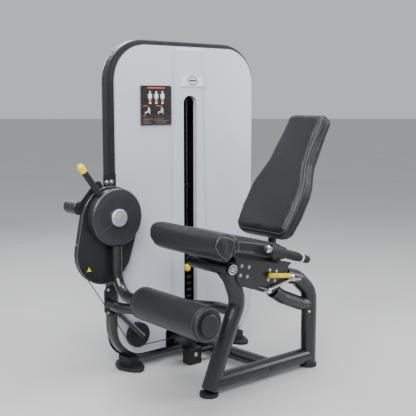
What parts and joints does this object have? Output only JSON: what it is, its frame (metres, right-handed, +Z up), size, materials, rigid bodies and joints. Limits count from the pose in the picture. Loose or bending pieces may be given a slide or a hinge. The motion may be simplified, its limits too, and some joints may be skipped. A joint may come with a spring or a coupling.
{
  "type": "leg extension machine",
  "caption": "Selectorised leg extension machine: padded seat and backrest, weight tower, swinging shin roller on a cam lever, cable-lifted plates",
  "frame": {"origin": "middle of the footprint's bounding box on the floor", "axes": "+Z up, the user faces -X, the weight tower is on the +Y side"},
  "size_m": [1.1232, 1.0142, 1.592],
  "materials": {
    "frame_paint": "satin charcoal powder coat",
    "black_paint": "matt black powder coat",
    "plate_iron": "black hammered paint",
    "shroud_paint": "silver paint",
    "placard": "printed panel",
    "badge": "blank badge plate",
    "chrome": "polished chrome",
    "steel": "brushed",
    "pulley_plastic": "black nylon",
    "cable_sheath": "coated steel rope",
    "disc_plastic": "slate grey moulding",
    "rubber": "moulded",
    "yellow": "yellow",
    "upholstery": "black synthetic leather over foam"
  },
  "bodies": {
    "frame": {"tower_loop": "frame_paint", "foot_front": "rubber", "foot_rear": "rubber", "shroud_front": "shroud_paint", "placard": "placard", "badge": "badge", "shroud_rear": "shroud_paint", "resting_plates": "plate_iron", "guide_rod_left": "chrome", "guide_rod_right": "chrome", "stack_base": "frame_paint", "stack_head": "frame_paint", "cable": "cable_sheath", "knee_guard": "frame_paint", "knee_carrier": "frame_paint", "leg_front": "frame_paint", "leg_rear": "frame_paint", "cross_tube": "frame_paint", "brace": "frame_paint", "base_tube": "frame_paint", "front_arm": "frame_paint", "front_bar": "frame_paint", "leg_front_foot": "rubber", "leg_rear_foot": "rubber", "base_bracket": "black_paint", "side_plate_near": "frame_paint", "side_plate_far": "frame_paint", "seat_base": "black_paint", "seat_pad": "upholstery", "grip_near": "rubber", "grip_knob_near": "chrome", "grip_far": "rubber", "grip_knob_far": "chrome", "cable_drop": "cable_sheath"},
    "stack": {"weight_plate_10": "plate_iron", "weight_plate_11": "plate_iron", "weight_plate_12": "plate_iron", "top_plate": "frame_paint"},
    "pin": {"selector_pin": "chrome", "pin_knob": "yellow"},
    "cam": {"cam": "steel", "counter_arm": "black_paint", "counterweight": "plate_iron"},
    "lever": {"disc_cover": "disc_plastic", "disc_cap": "steel", "lever_tube": "frame_paint", "roller_cap": "black_paint"},
    "roller": {"roller_pad": "upholstery"},
    "plunger": {"plunger_rod": "black_paint", "plunger_grip": "yellow"},
    "back": {"back_pad": "upholstery", "back_post": "frame_paint"},
    "release": {"release_bar": "chrome", "release_grip": "yellow"},
    "guard_pulley_wheel": {"guard_pulley": "pulley_plastic"},
    "front_pulley_wheel": {"front_pulley": "pulley_plastic"},
    "idler_wheel_wheel": {"idler_wheel": "pulley_plastic"},
    "entry_pulley_wheel": {"entry_pulley": "pulley_plastic"},
    "rise_pulley_wheel": {"rise_pulley": "pulley_plastic"},
    "top_pulley_wheel": {"top_pulley": "pulley_plastic"}
  },
  "joints": [
    {"name": "stack_lift", "type": "slide", "parent": "frame", "child": "stack", "axis": [0, 0, 1], "range_m": [0, 0.1264], "deforming": ["cable_drop"]},
    {"name": "cam_swing", "type": "hinge", "parent": "frame", "child": "cam", "pos_m": [-0.37045, 0.26775, 0.775], "axis": [0, 1, 0], "range_deg": [0, 60]},
    {"name": "start_adjust", "type": "hinge", "parent": "cam", "child": "lever", "pos_m": [-0.37045, 0.26775, 0.775], "axis": [0, 1, 0], "range_deg": [0, 40]},
    {"name": "plunger_pull", "type": "slide", "parent": "lever", "child": "plunger", "axis": [-0.592, 0, 0.806], "range_m": [0, 0.018], "stiffness_N_per_m": 600},
    {"name": "roller_spin", "type": "hinge", "parent": "lever", "child": "roller", "pos_m": [-0.36845, -0.21425, 0.413], "axis": [0, 1, 0], "continuous": true},
    {"name": "pin_pull", "type": "slide", "parent": "stack", "child": "pin", "axis": [0, -1, 0], "range_m": [0, 0.085]},
    {"name": "back_slide", "type": "slide", "parent": "frame", "child": "back", "axis": [0.9798, 0, -0.2], "range_m": [0, 0.05]},
    {"name": "release_swing", "type": "hinge", "parent": "frame", "child": "release", "pos_m": [0.12555, -0.27425, 0.446], "axis": [0, -1, 0], "range_deg": [0, 15]},
    {"name": "guard_pulley_spin", "type": "hinge", "parent": "frame", "child": "guard_pulley_wheel", "pos_m": [-0.49845, 0.26775, 0.565], "axis": [0, 1, 0], "range_deg": [0, 182]},
    {"name": "front_pulley_spin", "type": "hinge", "parent": "frame", "child": "front_pulley_wheel", "pos_m": [-0.22245, 0.26775, 0.178], "axis": [0, 1, 0], "range_deg": [0, 126]},
    {"name": "idler_wheel_spin", "type": "hinge", "parent": "frame", "child": "idler_wheel_wheel", "pos_m": [0.02455, 0.20575, 0.12], "axis": [0, 0, 1], "range_deg": [0, 118]},
    {"name": "entry_pulley_spin", "type": "hinge", "parent": "frame", "child": "entry_pulley_wheel", "pos_m": [0.01955, 0.29775, 0.12], "axis": [0, 0, 1], "range_deg": [-243, 0]},
    {"name": "rise_pulley_spin", "type": "hinge", "parent": "frame", "child": "rise_pulley_wheel", "pos_m": [0.04955, 0.34375, 0.138], "axis": [1, 0, 0], "range_deg": [-404, 0]},
    {"name": "top_pulley_spin", "type": "hinge", "parent": "frame", "child": "top_pulley_wheel", "pos_m": [0.07905, 0.38975, 1.44], "axis": [0.6885, -0.7253, 0], "range_deg": [0, 179]}
  ],
  "couplings": [
    {"joint": "cam_swing", "follows": "stack_lift", "rad_per_m": 8.2781},
    {"joint": "guard_pulley_spin", "follows": "stack_lift", "rad_per_m": 25},
    {"joint": "front_pulley_spin", "follows": "stack_lift", "rad_per_m": 17.241},
    {"joint": "idler_wheel_spin", "follows": "stack_lift", "rad_per_m": 16.129},
    {"joint": "entry_pulley_spin", "follows": "stack_lift", "rad_per_m": -33.333},
    {"joint": "rise_pulley_spin", "follows": "stack_lift", "rad_per_m": -55.556},
    {"joint": "top_pulley_spin", "follows": "stack_lift", "rad_per_m": 24.57}
  ]
}
